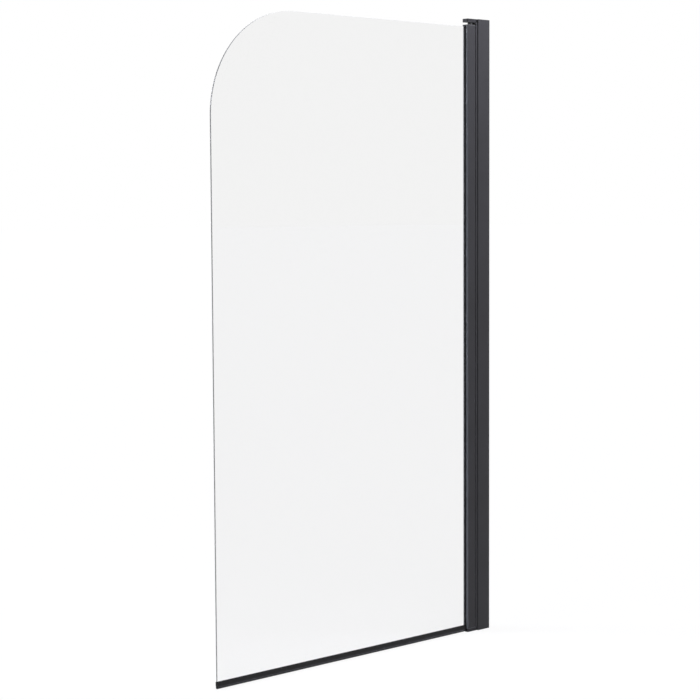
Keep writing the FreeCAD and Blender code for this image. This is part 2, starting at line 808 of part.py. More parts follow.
def glazing_blocks():
    body = new_body("glazing_blocks", x=axis_x, z=channel_bottom)
    sketch = new_sketch(body, "block_section", lift=size["block_inset"])
    near = glass_inner + size["block_gap"]
    far = -size["pocket_end"] - size["block_gap"]
    outline(
        sketch,
        [(near, -half_glass), (far, -half_glass), (far, half_glass), (near, half_glass)],
    )
    block = pad(body, "block", sketch, size["block_length"])
    run = channel_end - channel_bottom - size["block_inset"] * 2 - size["block_length"]
    row(body, "block_row", [block], "Z_Axis", run, size["block_count"])
    return body


def bottom_seal():
    # A clip over the edge of the glass, with a hollow bulb below it.
    free = -size["reach"]
    end = axis_x - size["channel_nose"] - size["gasket_nose"] - size["seal_end_gap"]
    body = new_body("bottom_seal", x=free)
    inner = half_glass + size["seal_gap"]
    outer = inner + size["seal_wall"]
    half_wall = size["seal_wall"] / 2
    slot = glass_bottom - size["seal_gap"]
    web = slot - size["seal_web"]
    bulb_z = size["seal_bottom"] + size["seal_bulb"]
    neck = size["seal_neck"]
    neck_z = bulb_z + root(size["seal_bulb"] * size["seal_bulb"] - neck * neck)
    top = size["seal_top"]
    sketch = new_sketch(body, "seal_section", "YZ_Plane")
    outline(
        sketch,
        [
            (-outer, web),
            (-outer, top - half_wall),
            (-inner - half_wall, top),
            (-inner, top - half_wall),
            (-inner, slot),
            (inner, slot),
            (inner, top - half_wall),
            (inner + half_wall, top),
            (outer, top - half_wall),
            (outer, web),
            (neck, web),
            (neck, neck_z),
            (-neck, neck_z, zero, bulb_z, -1),
            (-neck, web),
        ],
    )
    ring(sketch, size["seal_hollow"], zero, bulb_z)
    pad(body, "seal_extrusion", sketch, end - free)
    return body


def cross_recess(body, name, head_z):
    half_length = size["recess_length"] / 2
    half_width = size["recess_width"] / 2
    sketch = new_sketch(body, "%s_line" % name, lift=head_z)
    corners = [
        (half_length, half_width),
        (half_width, half_width),
        (half_width, half_length),
        (-half_width, half_length),
        (-half_width, half_width),
        (-half_length, half_width),
        (-half_length, -half_width),
        (-half_width, -half_width),
        (-half_width, -half_length),
        (half_width, -half_length),
        (half_width, -half_width),
        (half_length, -half_width),
    ]
    outline(sketch, corners)
    return pocket(body, name, sketch, size["recess_depth"])


def arm_screws(label, z, rotation=None):
    # Two countersunk screws, drawn from the face of the arm inwards.
    direction = -1 if rotation is None else 1
    y = size["port_offset"] * direction
    body = new_body(label, x=port_x, y=y, z=z, rotation=rotation)
    head = -size["screw_sink"]
    cone = head - (size["screw_head_radius"] - size["screw_radius"])
    tip = -size["arm_thickness"] - size["screw_hold"]
    point = tip - size["screw_radius"]
    sketch = new_sketch(body, "arm_screw_half", "XZ_Plane")
    outline(
        sketch,
        [
            (zero, head),
            (size["screw_head_radius"], head),
            (size["screw_radius"], cone),
            (size["screw_radius"], tip),
            (zero, point),
        ],
    )
    turned = revolve(body, "arm_screw_turned", sketch)
    recess = cross_recess(body, "arm_screw_recess", head)
    spacing = size["port_offset"] * 2
    row(body, "arm_screw_pair", [turned, recess], "Y_Axis", spacing, pair_count)
    return body


def side_screws():
    # Pan-head screws from the bath side through the wall profile into the leg behind it.
    body = new_body(
        "side_screws",
        x=side_screw_x,
        y=half_profile,
        z=size["side_screw_inset"],
        rotation=facing_back,
    )
    radius = size["side_screw_radius"]
    head = size["side_head_radius"]
    height = size["side_head_height"]
    tip = slide_half - size["leg_wall"] - half_profile - size["side_screw_hold"]
    sketch = new_sketch(body, "side_screw_half", "XZ_Plane")
    outline(
        sketch,
        [(zero, tip), (radius, tip), (radius, zero), (head, zero), (head, height), (zero, height)],
    )
    turned = revolve(body, "side_screw_turned", sketch)
    steps = size["side_screw_count"]
    pattern = row(body, "side_screw_row", [turned], "Y_Axis", side_screw_step, steps)
    pattern.Reversed = True
    return body


def screw_covers():
    body = new_body(
        "screw_covers",
        x=side_screw_x,
        y=half_profile,
        z=size["side_screw_inset"],
        rotation=facing_back,
    )
    radius = size["cover_radius"]
    height = size["cover_height"]
    wall = size["cover_wall"]
    sketch = new_sketch(body, "cover_half", "XZ_Plane")
    outline(
        sketch,
        [
            (radius - wall, zero),
            (radius, zero),
            (radius - wall, height),
            (zero, height),
            (zero, height - wall),
            (radius - wall, height - wall),
        ],
    )
    turned = revolve(body, "cover_turned", sketch)
    steps = size["side_screw_count"]
    pattern = row(body, "cover_row", [turned], "Y_Axis", side_screw_step, steps)
    pattern.Reversed = True
    return body


def cam_screw():
    # Locks the upper cam in the channel, from the bath side.
    body = new_body("cam_screw", x=axis_x, y=half_channel, z=cam_screw_z, rotation=facing_back)
    head = size["cam_screw_head"]
    radius = size["cam_screw_radius"]
    end = size["pin_radius"] - half_channel + size["cam_screw_gap"]
    sketch = new_sketch(body, "cam_screw_half", "XZ_Plane")
    outline(
        sketch,
        [(zero, zero), (head, zero), (radius, radius - head), (radius, end), (zero, end)],
    )
    revolve(body, "cam_screw_turned", sketch)
    return body


def build_screen():
    return [
        wall_profile(),
        pivot_profile(),
        wiper_seal(),
        glazing_channel(),
        top_end_plug(),
        pivot_arm("top_arm", top_arm_z),
        pivot_arm("bottom_arm", size["arm_thickness"], turned_over),
        top_bush(),
        top_pivot_pin(),
        bottom_pivot_pin(),
        lower_cam(),
        upper_cam(),
        gasket("front_gasket", -1),
        gasket("back_gasket", 1),
        glass_panel(),
        glazing_blocks(),
        bottom_seal(),
        arm_screws("top_arm_screws", size["height"]),
        arm_screws("bottom_arm_screws", zero, turned_over),
        side_screws(),
        screw_covers(),
        cam_screw(),
    ]


def check(bodies):
    failed = [item.Name for item in doc.Objects if {"Invalid", "Error"} & set(item.State)]
    for body in bodies:
        shape = body.Shape
        if shape.isNull() or not shape.isValid() or not shape.Solids:
            failed.append(body.Label)
    if failed:
        raise RuntimeError("failed: %s" % ", ".join(failed))


def write_parts(bodies):
    os.makedirs("parts", exist_ok=True)
    for body in bodies:
        body.Shape.exportStep("parts/%s.step" % body.Label)
        solids = len(body.Shape.Solids)
        print("%-20s %d solid(s) %12.1f mm3" % (body.Label, solids, body.Shape.Volume))


screen = build_screen()
doc.recompute()
check(screen)
write_parts(screen)
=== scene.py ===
import bpy
import numpy as np
from mathutils import Matrix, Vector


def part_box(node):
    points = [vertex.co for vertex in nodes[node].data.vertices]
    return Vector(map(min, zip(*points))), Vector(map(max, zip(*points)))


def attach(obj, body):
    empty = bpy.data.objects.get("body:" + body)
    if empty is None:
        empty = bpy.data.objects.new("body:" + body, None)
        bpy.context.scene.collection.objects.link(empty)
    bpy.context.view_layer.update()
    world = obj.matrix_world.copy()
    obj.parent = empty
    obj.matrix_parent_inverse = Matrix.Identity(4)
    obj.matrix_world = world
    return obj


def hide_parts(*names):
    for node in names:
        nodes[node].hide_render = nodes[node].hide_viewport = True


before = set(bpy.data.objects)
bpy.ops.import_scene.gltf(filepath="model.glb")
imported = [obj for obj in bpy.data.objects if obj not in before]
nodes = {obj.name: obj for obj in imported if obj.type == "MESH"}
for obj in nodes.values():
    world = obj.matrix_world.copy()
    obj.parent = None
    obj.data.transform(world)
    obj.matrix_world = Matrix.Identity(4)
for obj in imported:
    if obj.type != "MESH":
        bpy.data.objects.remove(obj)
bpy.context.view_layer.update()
scene = bpy.context.scene
mm = 0.001
print("frame loaded:", len(nodes), "nodes")


# Node tools: each takes the tree it works in.

def addNode(tree, kind, values=None, **settings):
    node = tree.nodes.new(kind)
    for key, value in settings.items():
        setattr(node, key, value)
    for key, value in (values or {}).items():
        node.inputs[key].default_value = value
    return node


def addMaths(tree, operation, values=None, **settings):
    return addNode(tree, "ShaderNodeMath", values, operation=operation, **settings)


def addColourMix(tree, first=None, second=None):
    # Factor 0 gives the first colour, factor 1 the second. One left out comes in by a link.
    given = {"A": first, "B": second}
    values = {key: (*colour, 1) for key, colour in given.items() if colour}
    return addNode(tree, "ShaderNodeMix", values, data_type="RGBA")


def addNoise(tree, detail, rough):
    return addNode(tree, "ShaderNodeTexNoise", {"Detail": detail, "Roughness": rough})


def addRange(tree, start, end):
    # 0 at the start, 1 at the end, unless its other inputs say otherwise.
    return addNode(tree, "ShaderNodeMapRange", {"From Min": start, "From Max": end})


def addBump(tree, strength, distance):
    return addNode(tree, "ShaderNodeBump", {"Strength": strength, "Distance": distance})


def addGroup(tree, group, values):
    return addNode(tree, "ShaderNodeGroup", values, node_tree=group)


def join(tree, start, startSocket, end, endSocket):
    tree.links.new(start.outputs[startSocket], end.inputs[endSocket])


vectorSocket = "NodeSocketVector"
numberSocket = "NodeSocketFloat"


def newGroup(name, inputs, outputs):
    group = bpy.data.node_groups.new(name, "ShaderNodeTree")
    for label, kind in inputs.items():
        group.interface.new_socket(label, in_out="INPUT", socket_type=kind)
    for label in outputs:
        group.interface.new_socket(label, in_out="OUTPUT", socket_type=numberSocket)
    return group, addNode(group, "NodeGroupInput"), addNode(group, "NodeGroupOutput")


grainNoise = {
    "coarseDetail": 2.0,
    "coarseRough": 0.5,
    "fineDetail": 1.0,
    "fineRough": 0.6,
    "finer": 4.0,
}


def makeFineGrain(noise):
    # Coarse noise carries the orange peel, a noise four times finer the pigment.
    inputs = {"Vector": vectorSocket, "Scale": numberSocket, "Fine Share": numberSocket}
    group, start, end = newGroup("fineGrain", inputs, ["Height", "Tone"])
    coarse = addNoise(group, noise["coarseDetail"], noise["coarseRough"])
    fine = addNoise(group, noise["fineDetail"], noise["fineRough"])
    finer = addMaths(group, "MULTIPLY", {1: noise["finer"]})
    height = addNode(group, "ShaderNodeMix", data_type="FLOAT")
    join(group, start, "Vector", coarse, "Vector")
    join(group, start, "Scale", coarse, "Scale")
    join(group, start, "Scale", finer, 0)
    join(group, start, "Vector", fine, "Vector")
    join(group, finer, 0, fine, "Scale")
    join(group, start, "Fine Share", height, "Factor")
    join(group, coarse, "Fac", height, "A")
    join(group, fine, "Fac", height, "B")
    join(group, height, "Result", end, "Height")
    join(group, fine, "Fac", end, "Tone")
    return group


lineNoise = {"detail": 3.0, "rough": 0.7}


def makeRunLines(noise):
    # The coordinates are squeezed along the run, so that the noise becomes lines.
    inputs = {"Vector": vectorSocket, "Squeeze": vectorSocket, "Scale": numberSocket}
    group, start, end = newGroup("runLines", inputs, ["Height"])
    squeezed = addNode(group, "ShaderNodeVectorMath", operation="MULTIPLY")
    lines = addNoise(group, noise["detail"], noise["rough"])
    join(group, start, "Vector", squeezed, 0)
    join(group, start, "Squeeze", squeezed, 1)
    join(group, squeezed, 0, lines, "Vector")
    join(group, start, "Scale", lines, "Scale")
    join(group, lines, "Fac", end, "Height")
    return group


cloudNoise = {"detail": 4.0, "rough": 0.55, "darkest": 0.3, "lightest": 0.7}


def makeCloudyTone(noise):
    # Slow noise, spread between a low and a high value.
    limits = {"Low": numberSocket, "High": numberSocket}
    inputs = {"Vector": vectorSocket, "Scale": numberSocket, **limits}
    group, start, end = newGroup("cloudyTone", inputs, ["Value"])
    cloud = addNoise(group, noise["detail"], noise["rough"])
    spread = addRange(group, noise["darkest"], noise["lightest"])
    join(group, start, "Vector", cloud, "Vector")
    join(group, start, "Scale", cloud, "Scale")
    join(group, cloud, "Fac", spread, "Value")
    join(group, start, "Low", spread, "To Min")
    join(group, start, "High", spread, "To Max")
    join(group, spread, "Result", end, "Value")
    return group


edgeRounding = {"radius": 1.2 * mm, "samples": 6}


def makeThinEdge(rounding):
    # One less the cosine between the true normal and one rounded over the radius: it rises
    # on sharp edges, where the finishes lay their painted edge highlight.
    group, start, end = newGroup("thinEdge", {"Gain": numberSocket}, ["Mask"])
    radius = {"Radius": rounding["radius"]}
    rounded = addNode(group, "ShaderNodeBevel", radius, samples=rounding["samples"])
    surface = addNode(group, "ShaderNodeNewGeometry")
    alike = addNode(group, "ShaderNodeVectorMath", operation="DOT_PRODUCT")
    apart = addMaths(group, "SUBTRACT", {0: 1.0})
    gained = addMaths(group, "MULTIPLY", use_clamp=True)
    join(group, rounded, "Normal", alike, 0)
    join(group, surface, "Normal", alike, 1)
    join(group, alike, "Value", apart, 1)
    join(group, apart, 0, gained, 0)
    join(group, start, "Gain", gained, 1)
    join(group, gained, 0, end, "Mask")
    return group


fineGrain = makeFineGrain(grainNoise)
runLines = makeRunLines(lineNoise)
cloudyTone = makeCloudyTone(cloudNoise)
thinEdge = makeThinEdge(edgeRounding)
print("shared effects made")


def newFinish(name):
    finish = bpy.data.materials.new(name)
    finish.use_nodes = True
    tree = finish.node_tree
    tree.nodes.clear()
    out = addNode(tree, "ShaderNodeOutputMaterial")
    skin = addNode(tree, "ShaderNodeBsdfPrincipled")
    where = addNode(tree, "ShaderNodeTexCoord")
    join(tree, skin, "BSDF", out, "Surface")
    return finish, tree, skin, where, out


def coatedFinish(name, look):
    # Colour goes from dark to light by grain and clouds, and to a painted edge highlight colour on
    # sharp edges. Roughness follows clouds, the bump follows grain and run lines. A look may add
    # a painted highlight band: its tone comes in between its start and its end along the reach.
    finish, tree, skin, where, _ = newFinish(name)
    fineness = {"Scale": look["grainScale"], "Fine Share": look["fineShare"]}
    squeeze = {"Squeeze": look["lineSqueeze"], "Scale": look["lineScale"]}
    shades = {"Scale": look["cloudScale"], "Low": 0.0, "High": look["cloudTone"]}
    glosses = {"Scale": look["cloudScale"], "Low": look["roughLow"], "High": look["roughHigh"]}
    grain = addGroup(tree, fineGrain, fineness)
    lines = addGroup(tree, runLines, squeeze)
    tone = addGroup(tree, cloudyTone, shades)
    gloss = addGroup(tree, cloudyTone, glosses)
    edge = addGroup(tree, thinEdge, {"Gain": look["edgeHighlightGain"]})
    speck = addMaths(tree, "MULTIPLY", {1: look["speckTone"]})
    both = addMaths(tree, "ADD", use_clamp=True)
    colour = addColourMix(tree, look["dark"], look["light"])
    withEdgeHighlight = addColourMix(tree, second=look["edge"])
    lineShare = addMaths(tree, "MULTIPLY", {1: look["lineDepth"]})
    grainShare = addMaths(tree, "MULTIPLY", {1: look["grainDepth"]})
    height = addMaths(tree, "ADD")
    bump = addBump(tree, look["bump"], look["bumpDistance"])
    for reader in (grain, lines, tone, gloss):
        join(tree, where, "Object", reader, "Vector")
    join(tree, grain, "Tone", speck, 0)
    join(tree, speck, 0, both, 0)
    join(tree, tone, "Value", both, 1)
    join(tree, both, 0, colour, "Factor")
    join(tree, colour, "Result", withEdgeHighlight, "A")
    join(tree, edge, "Mask", withEdgeHighlight, "Factor")
    last = withEdgeHighlight
    # painted highlight: a lighter band laid over the colour along the reach
    if "paintedHighlightTone" in look:
        parts = addNode(tree, "ShaderNodeSeparateXYZ")
        near = addRange(tree, look["paintedHighlightStart"], look["paintedHighlightEnd"])
        last = addColourMix(tree, second=look["paintedHighlightTone"])
        join(tree, where, "Object", parts, 0)
        join(tree, parts, "X", near, "Value")
        join(tree, near, "Result", last, "Factor")
        join(tree, withEdgeHighlight, "Result", last, "A")
    join(tree, last, "Result", skin, "Base Color")
    join(tree, gloss, "Value", skin, "Roughness")
    join(tree, lines, "Height", lineShare, 0)
    join(tree, grain, "Height", grainShare, 0)
    join(tree, lineShare, 0, height, 0)
    join(tree, grainShare, 0, height, 1)
    join(tree, height, 0, bump, "Height")
    join(tree, bump, "Normal", skin, "Normal")
    skin.inputs["Metallic"].default_value = look["metal"]
    skin.inputs["Specular IOR Level"].default_value = look["shine"]
    return finish


alongHeight = (1.0, 1.0, 0.004)
alongReach = (0.004, 1.0, 1.0)
everyWay = (1.0, 1.0, 1.0)

profileLook = {
    "dark": (0.0080, 0.0077, 0.0092),
    "light": (0.0183, 0.0176, 0.0212),
    # edge: the painted highlight colour that the finish lays on sharp edges
    "edge": (0.115, 0.117, 0.124),
    "metal": 0.0,
    "shine": 0.25,
    "roughLow": 0.30,
    "roughHigh": 0.38,
    "grainScale": 1400.0,
    "fineShare": 0.4,
    "lineSqueeze": alongHeight,
    "lineScale": 2600.0,
    "cloudScale": 9.0,
    "cloudTone": 0.22,
    "speckTone": 0.35,
    "edgeHighlightGain": 6.0,
    "lineDepth": 0.55,
    "grainDepth": 0.45,
    "bump": 0.16,
    "bumpDistance": 0.06 * mm,
}
# The nose at the channel's mouth gets a painted highlight: a lighter band of tone laid on by
# position.
channelLook = dict(
    profileLook,
    paintedHighlightStart=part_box("glazing_channel")[0].x + 1.6 * mm,
    paintedHighlightEnd=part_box("glazing_channel")[0].x + 1.1 * mm,
    paintedHighlightTone=(0.068, 0.072, 0.083),
)
castingLook = dict(
    profileLook,
    edge=(0.085, 0.087, 0.092),
    shine=0.19,
    roughLow=0.34,
    roughHigh=0.44,
    lineSqueeze=everyWay,
    lineScale=700.0,
    grainScale=1100.0,
    bump=0.30,
    bumpDistance=0.08 * mm,
)
rubberLook = dict(
    profileLook,
    dark=(0.005, 0.005, 0.0053),
    light=(0.010, 0.010, 0.0106),
    edge=(0.018, 0.018, 0.019),
    shine=0.15,
    roughLow=0.48,
    roughHigh=0.62,
    lineScale=1800.0,
    lineDepth=0.6,
    edgeHighlightGain=0.3,
    bump=0.25,
)
sealLook = dict(
    rubberLook,
    lineSqueeze=alongReach,
    dark=(0.004, 0.004, 0.0042),
    light=(0.009, 0.009, 0.0094),
    roughLow=0.28,
    roughHigh=0.38,
    shine=0.16,
)
blackNylonLook = dict(
    rubberLook,
    dark=(0.014, 0.014, 0.0145),
    light=(0.03, 0.03, 0.031),
    edge=(0.045, 0.045, 0.046),
    lineSqueeze=everyWay,
    lineScale=500.0,
    roughLow=0.40,
    roughHigh=0.52,
    shine=0.5,
)
whiteNylonLook = dict(
    blackNylonLook,
    dark=(0.62, 0.615, 0.59),
    light=(0.78, 0.775, 0.75),
    edge=(0.82, 0.815, 0.79),
    roughLow=0.38,
    roughHigh=0.50,
)
screwLook = dict(
    profileLook,
    dark=(0.018, 0.018, 0.020),
    light=(0.06, 0.06, 0.065),
    edge=(0.16, 0.16, 0.165),
    metal=0.6,
    roughLow=0.30,
    roughHigh=0.42,
    lineSqueeze=everyWay,
    lineScale=1500.0,
    edgeHighlightGain=1.6,
)
pinLook = dict(
    profileLook,
    dark=(0.50, 0.50, 0.505),
    light=(0.66, 0.66, 0.665),
    edge=(0.72, 0.72, 0.725),
    metal=1.0,
    roughLow=0.20,
    roughHigh=0.30,
    lineSqueeze=(0.02, 0.02, 1.0),
    lineScale=3200.0,
    bump=0.25,
)

profileFinish = coatedFinish("satinBlackProfile", profileLook)
channelFinish = coatedFinish("paintedNoseHighlightChannel", channelLook)
castingFinish = coatedFinish("satinBlackCasting", castingLook)
rubberFinish = coatedFinish("blackGasketRubber", rubberLook)
sealFinish = coatedFinish("blackSealStrip", sealLook)
blackNylonFinish = coatedFinish("blackNylon", blackNylonLook)
whiteNylonFinish = coatedFinish("naturalNylon", whiteNylonLook)
screwFinish = coatedFinish("blackenedScrew", screwLook)
pinFinish = coatedFinish("groundPinSteel", pinLook)


def glassFinish(name, look):
    # The tint wanders by clouds, and a ground surface gets a fine bump. Lamps pass straight
    # through, so that the pane throws no dark shadow.
    finish, tree, skin, where, out = newFinish(name)
    cloud = addGroup(tree, cloudyTone, {"Scale": look["waveScale"], "Low": 0.0, "High": 1.0})
    colour = addColourMix(tree, look["tint"], look["tintToo"])
    rays = addNode(tree, "ShaderNodeLightPath")
    letThrough = addNode(tree, "ShaderNodeBsdfTransparent", {"Color": (*look["shadowTint"], 1)})
    choose = addNode(tree, "ShaderNodeMixShader")
    join(tree, where, "Object", cloud, "Vector")
    join(tree, cloud, "Value", colour, "Factor")
    join(tree, colour, "Result", skin, "Base Color")
    if "grind" in look:
        fineness = {"Scale": look["grindScale"], "Fine Share": look["grindFineShare"]}
        ripple = addGroup(tree, fineGrain, fineness)
        bump = addBump(tree, look["grind"], look["grindDepth"])
        join(tree, where, "Object", ripple, "Vector")
        join(tree, ripple, "Height", bump, "Height")
        join(tree, bump, "Normal", skin, "Normal")
    skin.inputs["Roughness"].default_value = look["rough"]
    skin.inputs["Transmission Weight"].default_value = look["clear"]
    skin.inputs["IOR"].default_value = look["ior"]
    skin.inputs["Specular Tint"].default_value = (*look["mirror"], 1)
    join(tree, rays, "Is Shadow Ray", choose, "Fac")
    join(tree, skin, "BSDF", choose, 1)
    join(tree, letThrough, "BSDF", choose, 2)
    join(tree, choose, "Shader", out, "Surface")
    return finish


paneLook = {
    "tint": (0.886, 0.886, 0.885),
    "tintToo": (0.889, 0.889, 0.888),
    "shadowTint": (0.93, 0.94, 0.937),
    "ior": 1.5,
    "clear": 1.0,
    "mirror": (1.0, 1.0, 1.0),
    "rough": 0.0,
    "waveScale": 3.0,
}
groundEdgeLook = dict(
    paneLook,
    tint=(0.87, 0.885, 0.88),
    tintToo=(0.92, 0.935, 0.93),
    clear=0.77,
    mirror=(0.0, 0.0, 0.0),  # no glint of a lamp on the round corner
    rough=0.15,
    waveScale=60.0,
    grind=0.15,
    grindScale=1500.0,
    grindFineShare=0.3,
    grindDepth=0.01 * mm,
)
paneFinish = glassFinish("clearPane", paneLook)
groundEdgeFinish = glassFinish("groundPaneEdge", groundEdgeLook)
print("finishes made")


def shapeMesh(name, points, faces, finishes, marks=None, smooth=None, smoothAngle=30.0):
    # points: n by 3. faces: lists of point numbers. marks: a finish number for each face.
    # smooth: which faces share rounded normals; all of them where it is left out.
    mesh = bpy.data.meshes.new(name)
    mesh.from_pydata(points.tolist(), [], faces)
    for finish in finishes:
        mesh.materials.append(finish)
    if marks is not None:
        mesh.polygons.foreach_set("material_index", np.asarray(marks, dtype=np.int32))
    rounded = np.ones(len(mesh.polygons), dtype=bool) if smooth is None else np.asarray(smooth)
    mesh.set_sharp_from_angle(angle=np.radians(smoothAngle))  # first, or the pane shades in patches
    mesh.polygons.foreach_set("use_smooth", rounded)
    mesh.update()
    piece = bpy.data.objects.new(name, mesh)
    scene.collection.objects.link(piece)
    return piece


def ringFaces(rings, around, firstRing=1):
    # Quads between neighbouring closed rings, as rows of four point numbers. The first
    # ring starts at point firstRing.
    row = np.arange(rings - 1)[:, None] * around
    column = np.arange(around)[None, :]
    following = (column + 1) % around
    corners = (row + column, row + following, row + around + following, row + around + column)
    return np.stack([corner + firstRing for corner in corners], axis=-1).reshape(-1, 4)


def fanFaces(pole, ringStart, around, turned):
    # Triangles from a pole to a closed ring, as rows of three. turned: they face the other way.
    column = np.arange(around)
    following = (column + 1) % around
    pair = (following, column) if turned else (column, following)
    return np.stack([np.full(around, pole), ringStart + pair[0], ringStart + pair[1]], axis=-1)


paneSizes = {
    "left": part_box("glass_panel")[0].x,
    "right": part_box("glass_panel")[1].x,
    "bottom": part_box("glass_panel")[0].z,
    "top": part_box("glass_panel")[1].z,
    "halfThickness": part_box("glass_panel")[1].y,
    "bigCorner": 220.0 * mm,
    "bigSteps": 96,
    "smallCorner": 1.5 * mm,
    "smallSteps": 8,
    "arris": 0.5 * mm,
    "arrisSteps": 4,
    "sealTop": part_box("bottom_seal")[1].z,
    "sealSlack": 0.01 * mm,
}


def buildPane(size):
    # Outline: four corner arcs, x = centre + radius cos a, z = centre + radius sin a, and
    # one point on the free edge, level with the top of the seal.
    # Section: a quarter round arris from each face to the flat edge.
    small, big = size["smallCorner"], size["bigCorner"]
    left, right = size["left"] + small, size["right"] - small
    bottom, steps = size["bottom"] + small, size["smallSteps"]
    arcs = [
        (right, size["top"] - small, small, 0.0, steps),
        (size["left"] + big, size["top"] - big, big, 90.0, size["bigSteps"]),
        (left, size["sealTop"], small, 180.0, 0),
        (left, bottom, small, 180.0, steps),
        (right, bottom, small, 270.0, steps),
    ]
    angle = np.concatenate([np.radians(np.linspace(a, a + 90.0, n + 1)) for _, _, _, a, n in arcs])
    centreX = np.concatenate([np.full(n + 1, x) for x, _, _, _, n in arcs])
    centreZ = np.concatenate([np.full(n + 1, z) for _, z, _, _, n in arcs])
    radius = np.concatenate([np.full(n + 1, r) for _, _, r, _, n in arcs])
    turn = np.linspace(0.0, np.pi / 2, size["arrisSteps"] + 1)
    arris, half = size["arris"], size["halfThickness"]
    frontInset = arris * (1 - np.sin(turn))
    frontY = -half + arris * (1 - np.cos(turn))
    inset = np.concatenate([frontInset, frontInset[::-1]])
    depth = np.concatenate([frontY, -frontY[::-1]])
    x = centreX[None, :] + (radius[None, :] - inset[:, None]) * np.cos(angle)[None, :]
    z = centreZ[None, :] + (radius[None, :] - inset[:, None]) * np.sin(angle)[None, :]
    y = np.repeat(depth[:, None], len(angle), axis=1)
    rings = np.stack([x, y, z], axis=-1)
    middleX, middleZ = (size["left"] + size["right"]) / 2, (size["bottom"] + size["top"]) / 2
    front = np.array([middleX, -half, middleZ])
    back = np.array([middleX, half, middleZ])
    points = np.concatenate([front[None], rings.reshape(-1, 3), back[None]])
    count, around = rings.shape[:2]
    edge = ringFaces(count, around)[:, ::-1]
    frontFan = fanFaces(0, 1, around, False)
    backFan = fanFaces(len(points) - 1, 1 + (count - 1) * around, around, True)
    faces = edge.tolist() + frontFan.tolist() + backFan.tolist()
    # Marks: 0 is the clear face, 1 the ground edge, 2 the edge bedded in the black seal, which gets
    # the seal's black finish as painted shade.
    low = z[0] <= size["sealTop"] + size["sealSlack"]
    edgeMark = np.where(low & np.roll(low, -1), 2, 1)
    marks = np.concatenate([np.tile(edgeMark, count - 1), np.zeros(2 * around, dtype=int)])
    smooth = np.arange(len(faces)) < len(edge)
    finishes = [paneFinish, groundEdgeFinish, sealFinish]
    return shapeMesh("glass_pane", points, faces, finishes, marks, smooth)


pane = buildPane(paneSizes)
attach(pane, "panel")
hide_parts("glass_panel")
print("pane made")

coverSizes = {
    "centreX": (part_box("screw_covers")[0].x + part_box("screw_covers")[1].x) / 2,
    "heights": [150.0 * mm, 700.0 * mm, 1250.0 * mm],
    "seatY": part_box("screw_covers")[0].y,
    "radius": 5.2 * mm,
    "height": 3.4 * mm,
    "shoulder": 1.1 * mm,
    "shoulderSteps": 8,
    "crown": 0.5 * mm,
    "crownSteps": 7,
    "wall": 0.9 * mm,
    "around": 64,
}


def buildCovers(size):
    # A profile of radius and height turned about the screw's line: a straight
    # side, a round shoulder, a low crown to the pole, and the hollow within.
    radius, height, shoulder = size["radius"], size["height"], size["shoulder"]
    turn = np.linspace(0.0, np.pi / 2, size["shoulderSteps"] + 1)
    low = height - size["crown"] - shoulder
    shoulderR = radius - shoulder + shoulder * np.cos(turn)
    shoulderH = low + shoulder * np.sin(turn)
    crownR = (radius - shoulder) * np.linspace(1.0, 0.0, size["crownSteps"] + 1)[1:-1]
    crownH = height - size["crown"] * (crownR / (radius - shoulder)) ** 2
    innerR = radius - size["wall"]
    innerH = low + shoulder - size["wall"]
    profileR = np.concatenate([[innerR, innerR, radius], shoulderR, crownR])
    profileH = np.concatenate([[innerH, 0.0, 0.0], shoulderH, crownH])
    angle = np.linspace(0.0, 2 * np.pi, size["around"], endpoint=False)
    rings, around = len(profileR), len(angle)
    quads = ringFaces(rings, around)[:, ::-1]
    innerFan = fanFaces(0, 1, around, False)
    crownFan = fanFaces(1 + rings * around, 1 + (rings - 1) * around, around, True)
    fans = np.concatenate([innerFan, crownFan])
    x = size["centreX"] + profileR[:, None] * np.cos(angle)[None, :]
    y = size["seatY"] + np.repeat(profileH[:, None], around, axis=1)
    up = profileR[:, None] * np.sin(angle)[None, :]
    points, faces = [], []
    for z in size["heights"]:
        start = sum(len(shell) for shell in points)
        inside = np.array([[size["centreX"], size["seatY"] + innerH, z]])
        tip = np.array([[size["centreX"], size["seatY"] + height, z]])
        turned = np.stack([x, y, z + up], axis=-1).reshape(-1, 3)
        points.append(np.concatenate([inside, turned, tip]))
        faces += (start + quads).tolist() + (start + fans).tolist()
    return shapeMesh("domed_screw_covers", np.concatenate(points), faces, [blackNylonFinish])


covers = buildCovers(coverSizes)
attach(covers, "fixed")
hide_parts("screw_covers")
print("covers made")

# The other CAD pieces keep their shapes and get a finish each.
carriedOver = {
    "wall_profile": profileFinish,
    "pivot_profile": profileFinish,
    "glazing_channel": channelFinish,
    "top_arm": castingFinish,
    "bottom_arm": castingFinish,
    "wiper_seal": rubberFinish,
    "front_gasket": rubberFinish,
    "back_gasket": rubberFinish,
    "bottom_seal": sealFinish,
    "top_end_plug": blackNylonFinish,
    "top_bush": blackNylonFinish,
    "glazing_blocks": whiteNylonFinish,
    "lower_cam": whiteNylonFinish,
    "upper_cam": whiteNylonFinish,
    "top_pivot_pin": pinFinish,
    "bottom_pivot_pin": pinFinish,
    "top_arm_screws": screwFinish,
    "bottom_arm_screws": screwFinish,
    "side_screws": screwFinish,
    "cam_screw": screwFinish,
}
for name, finish in carriedOver.items():
    kept = nodes[name]
    if not kept.material_slots:
        kept.data.materials.append(finish)
    for place in kept.material_slots:
        place.material = finish
print("finishes placed on", len(carriedOver), "nodes")

floorLook = {
    "colour": (0.96, 0.96, 0.96),
    "reach": 60.0,
    "glow": 0.86,
    "white": 1.015,
    "dustScale": 1.5,
    "roughLow": 0.85,
    "roughHigh": 0.9,
    "shine": 0.1,
}


